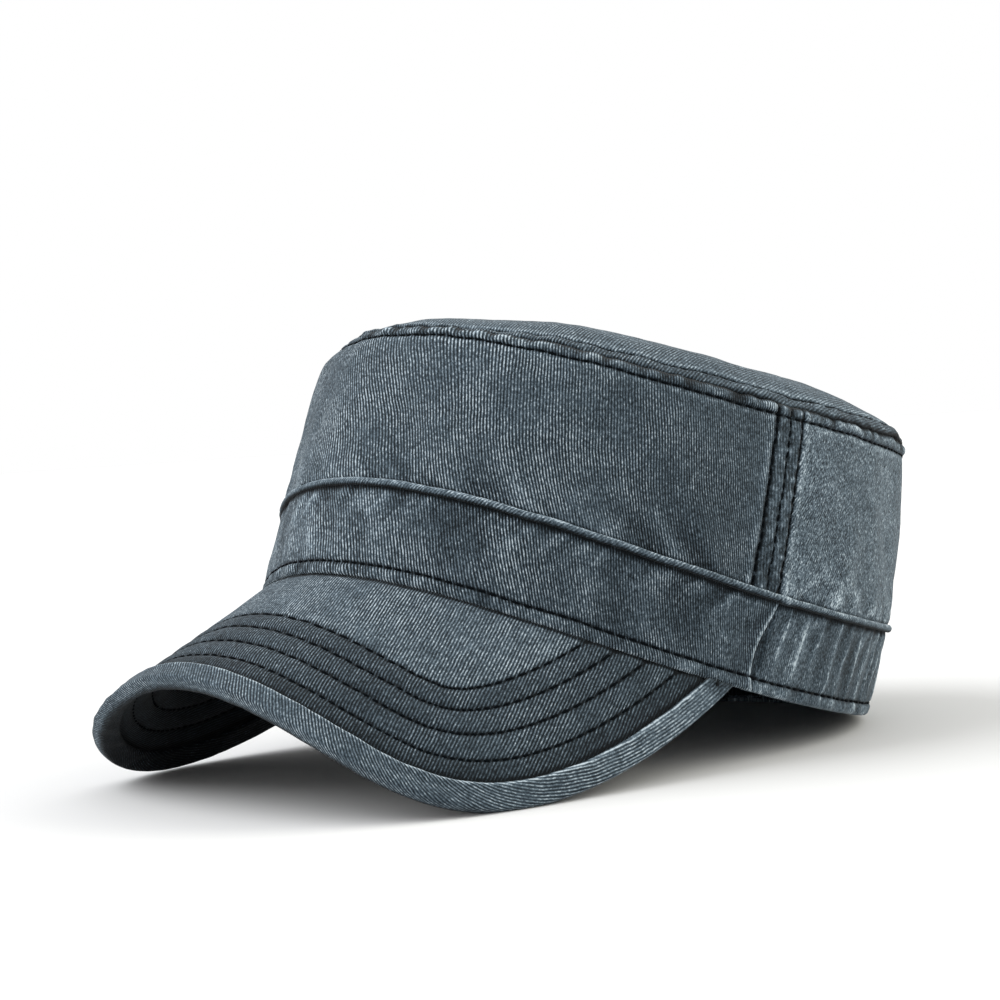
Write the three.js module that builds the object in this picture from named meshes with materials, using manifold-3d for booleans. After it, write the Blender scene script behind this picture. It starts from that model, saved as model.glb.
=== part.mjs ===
// A washed-cotton patrol cap, in millimetres: a flat-topped crown of two side panels and a domed
// top, corded piping, a sewn band, and a curved peak of two cloths bound along its edge.
// The cap is built upright in its own frame, with the crown's axis along +Z and the peak towards
// -Y. It is then tipped back onto the low sides of its peak and the back of its rim, as it lies
// on a table, with the floor at z = 0 and the origin under the middle of it.
import * as THREE from "three";
import { mergeVertices } from "three/addons/utils/BufferGeometryUtils.js";
import Module from "manifold-3d";

// Head opening and crown
const HALF_WIDTH = 84; // across the rim, outside
const HALF_LENGTH = 100.8; // front to back of the rim, outside
const BAND_HEIGHT = 26.7; // rim to piping, at the sides
const WALL_HEIGHT = 57.2; // piping to top seam, at the sides
const RIM_ARCH = 14.2; // how far the peak lifts the middle of the rim's front
const DOME_HEIGHT = 15.5; // how far the puffed top stands above its seam
const DOME_SQUARENESS = 6; // high values keep the top flat and its edge steep
const SHOULDER_ROUNDNESS = 1.8; // rounding of the wall into the top at the front, 1 is straight

// Cloth, cord and seams
const WALL_CLOTH = 1.4;
const TOP_CLOTH = 1.4;
const BAND_CLOTH = 2.2;
const PEAK_CLOTH = 1.1;
const BINDING_CLOTH = 0.9;
const CORD_RADIUS = 1.15;
const CORD_STAND_OUT = 0.1; // cord's centre outside the wall's face
const SEAM_WIDTH = 9; // felled side seam
const SEAM_CLOTH = 2;
const SEAM_STAND_OUT = 0.6;
const SEAM_ANGLE = 82.2; // from the middle of the front, in degrees
const SEAM_LEAN = 1.4; // how far it leans back from foot to head, in degrees
const LAP_ANGLE = 85.5; // where the band's front ends over its gathered back
const LAP_STAND_OUT = 0.5; // front of the band over its back
const LAP_REACH = 0.08; // share of the front's half over which it swells to its end
const GAP = 0.3; // between neighbouring pieces

// Gathered back of the band
const GATHER_PITCH = 8.6;
const GATHER_DEPTH = 0.7;
const GATHER_EVENNESS = 0.5; // depth at the band's edges, as a share of that at mid height

// Peak
const PEAK_END_ANGLE = 81.4; // where the peak's edge meets the rim, in degrees
const PEAK_SLOPE = 43.5; // downwards from the rim's plane, in degrees
const PEAK_DEPTH = 57.7; // rim to edge, at the middle
const PEAK_BOW = 2.5; // how far the peak swells above a straight slope towards its edge
const PEAK_BOW_REACH = 65; // how far from the rim the swelling is complete
const PEAK_CORNER = 2.2; // widens the flat outline's corners
const PEAK_FLATNESS = 15; // squares the flat outline's front
const BINDING_WIDTH = 7.2;

const REST_FLATTENING = 0.6; // how far the cloth gives where it stands on the table

// Rings of the crown. Half breadths are shares of HALF_WIDTH, half lengths and centres of
// HALF_LENGTH, and tilts and lifts of RIM_ARCH.
const RINGS = {
  rim: { height: 0, breadth: 1, length: 1, centre: 0, tilt: 0, frontLift: 1, backLift: 0.82 },
  piping: {
    height: BAND_HEIGHT,
    breadth: 1.06, length: 0.974, centre: 0.016, tilt: 0, frontLift: 1.06, backLift: 0.87,
  },
  seam: {
    height: BAND_HEIGHT + WALL_HEIGHT,
    breadth: 0.967, length: 0.935, centre: 0.067, tilt: -0.48, frontLift: 0.87, backLift: 0.32,
  },
};

// Soft folds of the crown's wall. Angle and lean are in degrees, at is a share of the wall's
// height, and width, reach and depth are shares of WALL_HEIGHT.
const FOLDS = [
  { angle: -34, lean: 6, at: 0.35, width: 0.12, reach: 0.5, depth: 0.018 },
  { angle: 12, lean: -14, at: 0.3, width: 0.2, reach: 0.35, depth: -0.022 },
  { angle: 47, lean: 16, at: 0.42, width: 0.22, reach: 0.4, depth: -0.028 },
  { angle: 68, lean: -12, at: 0.2, width: 0.12, reach: 0.3, depth: 0.018 },
  { angle: 100, lean: 18, at: 0.25, width: 0.14, reach: 0.3, depth: 0.02 },
  { angle: 122, lean: -10, at: 0.5, width: 0.22, reach: 0.4, depth: -0.026 },
  { angle: 145, lean: 0, at: 0.45, width: 0.5, reach: 0.5, depth: 0.03 },
  { angle: 182, lean: 12, at: 0.4, width: 0.22, reach: 0.4, depth: -0.03 },
  { angle: 226, lean: -12, at: 0.35, width: 0.18, reach: 0.35, depth: 0.02 },
  { angle: 262, lean: 14, at: 0.25, width: 0.14, reach: 0.3, depth: 0.02 },
  { angle: 300, lean: -14, at: 0.4, width: 0.22, reach: 0.4, depth: -0.028 },
];

const { PI, sin, cos, sqrt, abs, exp, hypot, min, max } = Math;
const radians = THREE.MathUtils.degToRad;
const lerp = THREE.MathUtils.lerp;
const vec = (x, y, z) => new THREE.Vector3(x, y, z);
const UP = vec(0, 0, 1);

const wasm = await Module();
wasm.setup();

const cloth = (color) => new THREE.MeshStandardMaterial({ color, roughness: 0.92, metalness: 0 });
const WASHED_GREY = cloth(0x59646c);
const FADED_GREY = cloth(0x66727a);
const DARK_GREY = cloth(0x4b555b);

// Closed surfaces

// A geometry from triangles of Vector3, with equal corners shared and empty triangles left out.
function geometryOf(triangles) {
  const real = triangles.filter(([a, b, c]) => {
    const area = b.clone().sub(a).cross(c.clone().sub(a)).length() / 2;
    return area > 1e-7;
  });
  const positions = real.flat().flatMap((p) => p.toArray());
  const geometry = new THREE.BufferGeometry();
  geometry.setAttribute("position", new THREE.Float32BufferAttribute(positions, 3));
  return mergeVertices(geometry, 1e-4);
}

// Skins a row of loops, each a list of points round a section of the piece. A closed row joins
// its last loop to its first, and an open one has its ends zipped shut.
function loft(loops, closed = false) {
  const sides = loops[0].length;
  const spans = closed ? loops.length : loops.length - 1;
  const triangles = [];
  const quad = (a, b, c, d) => triangles.push([a, b, c], [a, c, d]);
  for (let i = 0; i < spans; i++) {
    const here = loops[i];
    const next = loops[(i + 1) % loops.length];
    for (let k = 0; k < sides; k++) {
      const l = (k + 1) % sides;
      quad(here[k], next[k], next[l], here[l]);
    }
  }
  if (!closed) {
    const first = loops[0];
    const last = loops[loops.length - 1];
    for (let k = 0; k < sides / 2 - 1; k++) {
      const far = sides - 1 - k;
      quad(first[k], first[k + 1], first[far - 1], first[far]);
      quad(last[far], last[far - 1], last[k + 1], last[k]);
    }
  }
  return outward(triangles);
}

// Turns the triangles round if they enclose a negative volume.
function outward(triangles) {
  const volume = triangles.reduce((sum, [a, b, c]) => sum + a.dot(b.clone().cross(c)), 0);
  return geometryOf(volume < 0 ? triangles.map(([a, b, c]) => [a, c, b]) : triangles);
}

// A sheet of cloth: outer(u, v) and inner(u, v) give its two faces, u along it and v across it.
function sheet(columns, rows, outer, inner, closed = false) {
  const count = closed ? columns : columns + 1;
  const loops = Array.from({ length: count }, (_, i) => {
    const u = i / columns;
    const face = (side) => Array.from({ length: rows + 1 }, (_, j) => side(u, j / rows));
    return [...face(outer), ...face(inner).reverse()];
  });
  return loft(loops, closed);
}

function solidOf(geometry) {
  return new wasm.Manifold(
    new wasm.Mesh({
      numProp: 3,
      vertProperties: geometry.attributes.position.array,
      triVerts: new Uint32Array(geometry.index.array),
    }),
  );
}

function geometryFrom(solid) {
  const { vertProperties, triVerts } = solid.getMesh();
  const geometry = new THREE.BufferGeometry();
  geometry.setAttribute("position", new THREE.BufferAttribute(vertProperties, 3));
  geometry.setIndex(new THREE.BufferAttribute(triVerts, 1));
  return geometry;
}

// The crown's rings and wall

// A point of a ring at an angle in radians, 0 at the middle of the front and positive towards +X.
function ringPoint(ring, angle) {
  const c = cos(angle);
  const lift = c > 0 ? ring.frontLift : ring.backLift;
  const y = HALF_LENGTH * (ring.centre - ring.length * c);
  const z = ring.height + RIM_ARCH * (ring.tilt * c + lift * c * c);
  return vec(HALF_WIDTH * ring.breadth * sin(angle), y, z);
}

// The level direction out of the cap at an angle.
function outwardAt(angle) {
  return vec(sin(angle) / HALF_WIDTH, -cos(angle) / HALF_LENGTH, 0).normalize();
}

function pushed(point, angle, distance) {
  return point.addScaledVector(outwardAt(angle), distance);
}

// How far the folds move the wall outwards at an angle and a share v of its height.
function foldDepth(angle, v) {
  let depth = 0;
  for (const fold of FOLDS) {
    const centre = radians(fold.angle + fold.lean * (v - fold.at));
    const turn = Math.atan2(sin(angle - centre), cos(angle - centre));
    const across = (turn * HALF_LENGTH) / (fold.width * WALL_HEIGHT);
    const along = (v - fold.at) / fold.reach;
    depth += fold.depth * WALL_HEIGHT * exp(-across * across - along * along);
  }
  return depth * sqrt(sin(PI * v));
}

// The outer face of the crown's wall, at a share v of the height from piping to top seam.
function wallPoint(angle, v) {
  const low = ringPoint(RINGS.piping, angle);
  const high = ringPoint(RINGS.seam, angle);
  const roundness = 1 + ((SHOULDER_ROUNDNESS - 1) * (1 + cos(angle))) / 2;
  const inward = 1 - (1 - v ** roundness) ** (1 / roundness);
  const point = vec(lerp(low.x, high.x, inward), lerp(low.y, high.y, inward), lerp(low.z, high.z, v));
  return pushed(point, angle, foldDepth(angle, v));
}

const WALL_FOOT = (CORD_RADIUS + GAP) / WALL_HEIGHT;
const WALL_HEAD = 1 - (TOP_CLOTH + GAP) / WALL_HEIGHT;

// A stretch of the crown's wall between two angles in degrees, narrowed by a gap at each end.
function wallPanel(from, to, columns, rows, thickness, standOut = 0) {
  const margin = GAP / 2 / HALF_WIDTH;
  const at = (u, v, distance) => {
    const upright = lerp(radians(from) + margin, radians(to) - margin, u);
    const angle = upright + radians(SEAM_LEAN) * (v - 0.5) * sin(upright);
    return pushed(wallPoint(angle, lerp(WALL_FOOT, WALL_HEAD, v)), angle, distance);
  };
  const outer = (u, v) => at(u, v, standOut);
  const inner = (u, v) => at(u, v, standOut - thickness);
  return sheet(columns, rows, outer, inner);
}

const SEAM_HALF_ANGLE = THREE.MathUtils.radToDeg(SEAM_WIDTH / 2 / HALF_WIDTH);

const crownFront = () =>
  wallPanel(SEAM_HALF_ANGLE - SEAM_ANGLE, SEAM_ANGLE - SEAM_HALF_ANGLE, 40, 6, WALL_CLOTH);

const crownBack = () =>
  wallPanel(SEAM_ANGLE + SEAM_HALF_ANGLE, 360 - SEAM_ANGLE - SEAM_HALF_ANGLE, 44, 6, WALL_CLOTH);

const sideSeam = (angle) =>
  wallPanel(angle - SEAM_HALF_ANGLE, angle + SEAM_HALF_ANGLE, 3, 7, SEAM_CLOTH, SEAM_STAND_OUT);

// The puffed top, from its seam at r = 1 to its middle at r = 0.
function topPoint(angle, r) {
  const edge = ringPoint(RINGS.seam, angle);
  const middle = ringPoint(RINGS.seam, PI / 2);
  const z = lerp(middle.z, edge.z, r * r) + DOME_HEIGHT * (1 - r ** DOME_SQUARENESS);
  return vec(edge.x * r, lerp(middle.y, edge.y, r), z);
}

function crownTop() {
  const face = (drop) => (u, v) => {
    const spread = sin((PI / 2) * (1 - v));
    return topPoint(2 * PI * u, spread).addScaledVector(UP, -drop);
  };
  return sheet(60, 6, face(0), face(TOP_CLOTH), true);
}

// Band and piping

function bandPoint(angle, v) {
  const low = ringPoint(RINGS.rim, angle);
  const high = ringPoint(RINGS.piping, angle);
  return low.lerp(high, v);
}

const BAND_HEAD = 1 - (CORD_RADIUS + GAP) / BAND_HEIGHT;

function bandPanel(from, to, columns, rows, relief) {
  const margin = GAP / 2 / HALF_WIDTH;
  const at = (u, v, distance) => {
    const angle = lerp(radians(from) + margin, radians(to) - margin, u);
    return pushed(bandPoint(angle, v * BAND_HEAD), angle, relief(u, v) + distance);
  };
  return sheet(columns, rows, (u, v) => at(u, v, 0), (u, v) => at(u, v, -BAND_CLOTH));
}

// The front swells a little where its ends lap over the back.
const bandFront = () =>
  bandPanel(-LAP_ANGLE, LAP_ANGLE, 48, 3, (u) => LAP_STAND_OUT * abs(2 * u - 1) ** (1 / LAP_REACH));

// The back is drawn up into upright gathers that fade out at both of its ends.
function bandBack() {
  const span = radians(360 - 2 * LAP_ANGLE);
  const gathers = Math.round((span * HALF_LENGTH) / GATHER_PITCH);
  const columnsEach = 4;
  const relief = (u, v) => {
    const fade = sqrt(sin(PI * u));
    const swell = lerp(GATHER_EVENNESS, 1, sin(PI * v));
    return (GATHER_DEPTH / 2) * fade * swell * (cos(2 * PI * gathers * u) - 1);
  };
  return bandPanel(LAP_ANGLE, 360 - LAP_ANGLE, gathers * columnsEach, 2, relief);
}

function piping() {
  const columns = 76;
  const sides = 8;
  const loops = Array.from({ length: columns }, (_, i) => {
    const angle = (2 * PI * i) / columns;
    const centre = pushed(ringPoint(RINGS.piping, angle), angle, CORD_STAND_OUT);
    return Array.from({ length: sides }, (_, k) => {
      const turn = (2 * PI * k) / sides;
      const spoke = pushed(centre.clone(), angle, CORD_RADIUS * cos(turn));
      return spoke.addScaledVector(UP, CORD_RADIUS * sin(turn));
    });
  });
  return loft(loops, true);
}

// Peak. It is one curved sheet: the front of the rim carried along a sloping direction. Flattened
// out, p runs across it along its curve and q runs along the slope.

const SLOPE = vec(0, -cos(radians(PEAK_SLOPE)), -sin(radians(PEAK_SLOPE)));

const rimCurve = (() => {
  const steps = 240;
  const end = radians(PEAK_END_ANGLE);
  const samples = [];
  for (let i = 0; i <= steps; i++) {
    const angle = lerp(-end, end, i / steps);
    const point = ringPoint(RINGS.rim, angle);
    const q = point.dot(SLOPE);
    const before = samples[i - 1];
    const flat = point.clone().addScaledVector(SLOPE, -q);
    const p = before ? before.p + before.flat.distanceTo(flat) : 0;
    samples.push({ angle, q, p, flat });
  }
  const half = samples[steps].p / 2;
  samples.forEach((sample) => (sample.p -= half));
  return samples;
})();

const PEAK_HALF_SPAN = rimCurve[rimCurve.length - 1].p;
const RIM_END_Q = rimCurve[0].q;
const RIM_MIDDLE_Q = rimCurve[(rimCurve.length - 1) / 2].q;

// The rim's sample at p, between the two nearest.
function rimAt(p) {
  const found = rimCurve.findIndex((sample) => sample.p > p);
  const i = found < 0 ? rimCurve.length - 1 : max(found, 1);
  const [a, b] = [rimCurve[i - 1], rimCurve[i]];
  const share = (p - a.p) / (b.p - a.p);
  return {
    angle: lerp(a.angle, b.angle, share),
    q: lerp(a.q, b.q, share),
    flat: a.flat.clone().lerp(b.flat, share),
  };
}

// A point of the peak from its flat place, a distance below its upper face.
function peakPoint(p, q, below) {
  const { angle, flat, q: rimQ } = rimAt(p);
  const share = THREE.MathUtils.clamp((q - rimQ) / PEAK_BOW_REACH, 0, 1);
  const rise = PEAK_BOW * sin((PI / 2) * share) - below;
  const step = 1e-3;
  const tangent = ringPoint(RINGS.rim, angle + step).sub(ringPoint(RINGS.rim, angle - step));
  const normal = SLOPE.clone().cross(tangent).normalize();
  return flat.addScaledVector(SLOPE, q).addScaledVector(normal, rise);
}

// The finished peak's flat outline, t from -PI/2 to PI/2, moved inwards by inset.
function outline(t, inset) {
  const reach = RIM_MIDDLE_Q + PEAK_DEPTH - RIM_END_Q;
  const place = (s) => [
    (PEAK_HALF_SPAN + PEAK_CORNER) * sin(s) + PEAK_CORNER * sin(3 * s),
    RIM_END_Q + (reach + PEAK_FLATNESS) * cos(s) - PEAK_FLATNESS * cos(3 * s),
  ];
  const step = 1e-4;
  const [[p0, q0], [p1, q1]] = [place(t - step), place(t + step)];
  const length = hypot(p1 - p0, q1 - q0);
  const [p, q] = place(t);
  return [p + (inset * (q1 - q0)) / length, q - (inset * (p1 - p0)) / length];
}

// The largest t at which the outline, moved inwards by inset, still lies a little clear of the rim.
function outlineEnd(inset, clear) {
  let [low, high] = [PI / 4, PI / 2];
  for (let i = 0; i < 40; i++) {
    const t = (low + high) / 2;
    const [p, q] = outline(t, inset);
    if (abs(p) < PEAK_HALF_SPAN && q - rimAt(p).q > clear) low = t;
    else high = t;
  }
  return low;
}

const BINDING_BITE = BINDING_CLOTH + GAP; // from the peak's finished edge to its cloths' edge

// One of the peak's two cloths, a distance below the peak's upper face.
function peakCloth(below) {
  const end = outlineEnd(BINDING_BITE, GAP + PEAK_CLOTH);
  const at = (u, v, depth) => {
    const [p, q] = outline(lerp(-end, end, u), BINDING_BITE);
    return peakPoint(p, lerp(q, rimAt(p).q + GAP, v), depth);
  };
  return sheet(44, 5, (u, v) => at(u, v, below), (u, v) => at(u, v, below + PEAK_CLOTH));
}

const PEAK_THICKNESS = 2 * PEAK_CLOTH + GAP;

// The binding's section, from its upper hem round the peak's edge to its lower hem, as insets
// from the finished edge and depths below the peak's upper face.
function bindingSection(side) {
  const outside = side === "outside";
  const rise = GAP + (outside ? BINDING_CLOTH : 0);
  const radius = PEAK_THICKNESS / 2 + rise;
  const points = [[BINDING_WIDTH, -rise]];
  const turns = 4;
  for (let k = 0; k <= turns; k++) {
    const turn = (PI * k) / turns;
    const nose = BINDING_BITE - (outside ? BINDING_BITE : GAP) * sqrt(sin(turn));
    points.push([nose, PEAK_THICKNESS / 2 - radius * cos(turn)]);
  }
  points.push([BINDING_WIDTH, PEAK_THICKNESS + rise]);
  return points;
}

function peakBinding() {
  const columns = 48;
  const [outside, inside] = [bindingSection("outside"), bindingSection("inside")];
  const section = [...outside, ...inside.reverse()];
  const ends = section.map(([inset]) => outlineEnd(inset, GAP));
  const loops = Array.from({ length: columns + 1 }, (_, i) =>
    section.map(([inset, depth], k) => {
      const [p, q] = outline(lerp(-ends[k], ends[k], i / columns), inset);
      return peakPoint(p, q, depth);
    }),
  );
  return loft(loops);
}

// Resting attitude

// The tilt, backwards, at which the peak's edge and the back of the rim come down together.
function restTilt(edgePoints, rimPoints) {
  const lowest = (points, tilt) =>
    min(...points.map((point) => point.z * cos(tilt) - point.y * sin(tilt)));
  let [low, high] = [0, radians(45)];
  for (let i = 0; i < 50; i++) {
    const tilt = (low + high) / 2;
    if (lowest(edgePoints, tilt) < lowest(rimPoints, tilt)) low = tilt;
    else high = tilt;
  }
  return (low + high) / 2;
}

function verticesOf(geometry) {
  const place = geometry.attributes.position;
  return Array.from({ length: place.count }, (_, i) => vec().fromBufferAttribute(place, i));
}

// Assembly

const edgeGeometry = peakBinding();
const backGeometry = bandBack();

const tilt = restTilt(verticesOf(edgeGeometry), verticesOf(backGeometry));
const tipped = new THREE.Group();
tipped.rotation.x = -tilt;
const tipBack = new THREE.Matrix4().makeRotationX(-tilt);

const lowestZ = min(
  ...[edgeGeometry, backGeometry].flatMap((g) => verticesOf(g).map((p) => p.applyMatrix4(tipBack).z)),
);
const floorZ = lowestZ + REST_FLATTENING;

// Cuts away what would lie below the table, in the cap's own frame.
function flattened(geometry) {
  const depth = 20;
  const size = 4 * HALF_LENGTH;
  const slab = new THREE.BoxGeometry(size, size, depth);
  slab.translate(0, 0, floorZ - depth / 2);
  slab.applyMatrix4(tipBack.clone().invert());
  slab.deleteAttribute("normal");
  slab.deleteAttribute("uv");
  return geometryFrom(solidOf(geometry).subtract(solidOf(mergeVertices(slab, 1e-3))));
}

function piece(name, geometry, material) {
  const mesh = new THREE.Mesh(geometry, material);
  mesh.name = name;
  tipped.add(mesh);
}

piece("crown_top", crownTop(), WASHED_GREY);
piece("crown_front", crownFront(), WASHED_GREY);
piece("crown_back", crownBack(), WASHED_GREY);
piece("side_seam_left", sideSeam(SEAM_ANGLE), DARK_GREY);
piece("side_seam_right", sideSeam(-SEAM_ANGLE), DARK_GREY);
piece("piping", piping(), FADED_GREY);
piece("band_front", bandFront(), WASHED_GREY);
piece("band_back", flattened(backGeometry), WASHED_GREY);
piece("peak_top", peakCloth(0), WASHED_GREY);
piece("peak_under", peakCloth(PEAK_CLOTH + GAP), DARK_GREY);
piece("peak_binding", flattened(edgeGeometry), FADED_GREY);

// The origin lies on the table, under the middle of the cap.
const cap = new THREE.Group();
cap.add(tipped);
cap.updateMatrixWorld(true);
const reach = new THREE.Box3().setFromObject(tipped, true);
tipped.position.set(-(reach.min.x + reach.max.x) / 2, -(reach.min.y + reach.max.y) / 2, -floorZ);

export default cap;
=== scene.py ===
"""A washed-cotton patrol cap, dressed in cloth, seams, stitches, worn paleness, painted highlights
and painted shade, lying on a table.
"""

from bisect import bisect_right
from functools import cache
from math import atan2, cos, exp, hypot, pi, radians, sin, sqrt

import bmesh
import bpy
import numpy as np
from mathutils import Matrix, Vector, noise


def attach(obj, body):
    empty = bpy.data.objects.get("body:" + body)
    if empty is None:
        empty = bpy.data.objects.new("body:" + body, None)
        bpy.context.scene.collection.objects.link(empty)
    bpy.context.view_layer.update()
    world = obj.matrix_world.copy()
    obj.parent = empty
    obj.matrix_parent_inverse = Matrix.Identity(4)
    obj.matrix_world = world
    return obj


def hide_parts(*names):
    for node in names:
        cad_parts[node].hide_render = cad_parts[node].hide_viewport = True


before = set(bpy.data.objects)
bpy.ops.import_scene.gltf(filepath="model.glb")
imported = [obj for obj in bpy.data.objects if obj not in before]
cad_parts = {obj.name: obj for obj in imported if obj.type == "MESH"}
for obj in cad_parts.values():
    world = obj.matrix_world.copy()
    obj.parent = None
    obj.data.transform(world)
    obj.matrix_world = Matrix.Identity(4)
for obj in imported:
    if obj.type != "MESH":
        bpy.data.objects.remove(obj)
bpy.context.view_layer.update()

MM = 0.001

# Sizes of the cap, in millimetres and degrees, as its solids have them
HALF_WIDTH = 84
HALF_LENGTH = 100.8
BAND_HEIGHT = 26.7
WALL_HEIGHT = 57.2
RIM_ARCH = 14.2
DOME_HEIGHT = 15.5
DOME_SQUARENESS = 6
SHOULDER_ROUNDNESS = 1.8
WALL_CLOTH = 1.4
TOP_CLOTH = 1.4
BAND_CLOTH = 2.2
PEAK_CLOTH = 1.1
BINDING_CLOTH = 0.9
CORD_RADIUS = 1.15
CORD_STAND_OUT = 0.1
SEAM_WIDTH = 9
SEAM_CLOTH = 2
SEAM_STAND_OUT = 0.6
SEAM_ANGLE = 82.2
SEAM_LEAN = 1.4
LAP_ANGLE = 85.5
LAP_STAND_OUT = 0.5
LAP_REACH = 0.08
GAP = 0.3
GATHER_PITCH = 8.6
GATHER_DEPTH = 0.7
GATHER_EVENNESS = 0.5
PEAK_END_ANGLE = 81.4
PEAK_SLOPE = 43.5
PEAK_DEPTH = 57.7
PEAK_BOW = 2.5
PEAK_BOW_REACH = 65
PEAK_CORNER = 2.2
PEAK_FLATNESS = 15
BINDING_WIDTH = 7.2

REST_TILT = 16.933
REST_SHIFT = Vector((0, 10.339, 17.613))

# The rings that shape the cap: heights in millimetres, half breadths and half lengths as shares of
# the rim's, and how far their fronts and backs lift as shares of the rim's arch
RINGS = {
    "rim": dict(height=0, breadth=1, length=1, centre=0, tilt=0, front=1, back=0.82),
    "piping": dict(
        height=BAND_HEIGHT, breadth=1.06, length=0.974, centre=0.016, tilt=0, front=1.06, back=0.87
    ),
    "seam": dict(
        height=BAND_HEIGHT + WALL_HEIGHT,
        breadth=0.967, length=0.935, centre=0.067, tilt=-0.48, front=0.87, back=0.32,
    ),
}

# Soft folds of the wall: angle, lean, place up the wall, width, reach and depth
FOLDS = [
    (-34, 6, 0.35, 0.12, 0.5, 0.018),
    (12, -14, 0.3, 0.2, 0.35, -0.022),
    (47, 16, 0.42, 0.22, 0.4, -0.028),
    (68, -12, 0.2, 0.12, 0.3, 0.018),
    (100, 18, 0.25, 0.14, 0.3, 0.02),
    (122, -10, 0.5, 0.22, 0.4, -0.026),
    (145, 0, 0.45, 0.5, 0.5, 0.03),
    (182, 12, 0.4, 0.22, 0.4, -0.03),
    (226, -12, 0.35, 0.18, 0.35, 0.02),
    (262, 14, 0.25, 0.14, 0.3, 0.02),
    (300, -14, 0.4, 0.22, 0.4, -0.028),
]

# Stitching, in millimetres
STITCH_PITCH = 3.3
STITCH_SHARE = 0.72  # of its pitch that each stitch covers
THREAD_RADIUS = 0.4
THREAD_PROUD = 0.12  # over the cloth
WALL_STITCH = 3.8  # below the top seam
TOP_STITCH = 4.6  # inside the top seam
BAND_STITCH = 3.8  # above the rim
SEAM_STITCHES = (-4.0, 0.2, 4.0)  # across the side seam
PEAK_STITCHES = (13.5, 21, 28.3, 35)  # from the peak's edge
SEAM_ROW = (0.03, 0.985)  # its ends, as shares of the wall's height
PEAK_ROW_END = 1.6  # from the rim
GROOVE_DEPTH = 0.55  # where a row of stitches draws the cloth in
QUILT_PITCH = 7.2  # of the soft ribs between the peak's rows

# Sizes of the worn and sewn cloth, in millimetres
GIRTH = 92  # mean radius of the wall, to measure along it
WELT_EDGE = 0.9  # over which a welt rises from its stitches
SHOULDER_RISE = 3.6  # of the wall's far front, under the top seam
SEAM_TUCK = 3.2  # of the top seam there
TOP_DIP = (8, -72)  # the middle of a hollow in the front of the top
TOP_DIP_DEPTH = 2.0
TOP_DIP_REACH = 28
LAP_BOW = 2.5  # how far the lapped edge curves in at mid height
LAP_TUCK = 3.2  # how far the band's back reaches under the lapped ends
GATHER_FULLNESS = 1.4  # the gathers' depth in cloth, to that of the solid
CORD_PROUD = 0.1  # over its solid
PEAK_FLATTER = 0.8  # how much less the peak's far side bows
PEAK_DRAWN_IN = 1.5  # how far its edge is drawn in there
BIAS = 0.8  # the binding is cut on the bias, and straightens out towards its ends

SEAM_AT = radians(SEAM_ANGLE)
SEAM_HALF = SEAM_WIDTH / 2 / HALF_WIDTH
LAP_AT = radians(LAP_ANGLE)
FAR_LAP_AT = radians(360 - LAP_ANGLE)
LAP_UNDER = LAP_TUCK / HALF_WIDTH
BACK_SPAN = radians(360 - 2 * LAP_ANGLE)
GATHERS = round(BACK_SPAN * HALF_LENGTH / GATHER_PITCH)


# Shaping
#
# A function that ends in _spot, _face or _relief gives a cloth's worn paleness with painted
# highlights, and its painted shade, as well, from 0 to 1. Its numbers are heights of small forms
# and the lengths over which they come and go, all in millimetres. A lone last number given to
# ripple only picks another pattern.


def mix(a, b, share):
    return a + (b - a) * share


def clamped(x):
    return min(max(x, 0), 1)


def ease(x):
    x = clamped(x)
    return x * x * (3 - 2 * x)


def hump(x, place, width):
    return exp(-(((x - place) / width) ** 2))


def ripple(*place):
    """Smooth noise, about -1 to 1."""
    return noise.noise(Vector((*place, 0, 0)[:3]))


def crumple(point, size):
    """Creases of loose cloth, of a size, about -1 to 1."""
    return noise.fractal(point / size, 1.0, 2.0, 3)


def wrapped(turn):
    """The same turn, within half a turn either way."""
    return atan2(sin(turn), cos(turn))


def turn_from(angle, degrees):
    return wrapped(angle - radians(degrees))


def run_lengths(points):
    """How far along a line each of its points lies."""
    return np.concatenate(([0], np.cumsum(np.hypot(*np.diff(points, axis=0).T))))


# Crown


def ring_point(name, angle):
    """A point of the rim, the piping or the top seam. The angle runs from the front to the left."""
    ring = RINGS[name]
    c = cos(angle)
    lift = ring["front"] if c > 0 else ring["back"]
    return Vector((
        HALF_WIDTH * ring["breadth"] * sin(angle),
        HALF_LENGTH * (ring["centre"] - ring["length"] * c),
        ring["height"] + RIM_ARCH * (ring["tilt"] * c + lift * c * c),
    ))


def outward_at(angle):
    return Vector((sin(angle) / HALF_WIDTH, -cos(angle) / HALF_LENGTH, 0)).normalized()


def fold_depth(angle, v):
    """How far the soft folds stand out or fall back."""
    depth = 0
    for turn, lean, place, width, reach, amount in FOLDS:
        off = wrapped(angle - radians(turn + lean * (v - place)))
        across = off * HALF_LENGTH / (width * WALL_HEIGHT)
        along = (v - place) / reach
        depth += amount * WALL_HEIGHT * exp(-across * across - along * along)
    return depth * sqrt(max(sin(pi * v), 0))


def wall_point(angle, v):
    """The wall's plain form, from the piping at v = 0 to the top seam."""
    low, high = ring_point("piping", angle), ring_point("seam", angle)
    roundness = 1 + (SHOULDER_ROUNDNESS - 1) * (1 + cos(angle)) / 2
    inward = 1 - (1 - v**roundness) ** (1 / roundness)
    point = Vector((mix(low.x, high.x, inward), mix(low.y, high.y, inward), mix(low.z, high.z, v)))
    return point + outward_at(angle) * fold_depth(angle, v)


def lump(angle):
    """Where the welt puffs up between the stitches."""
    return ripple(cos(angle) * 21, sin(angle) * 21, 8)


def seam_wave(angle):
    """How far the top seam rides up and down."""
    return 0.45 * ripple(cos(angle) * 11, sin(angle) * 11, 4) + 0.6 * lump(angle)


def wall_stitch(angle):
    """How far below the top seam the wall is stitched."""
    return WALL_STITCH + 0.5 * ripple(angle * GIRTH / 14, 3.1)


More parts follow.
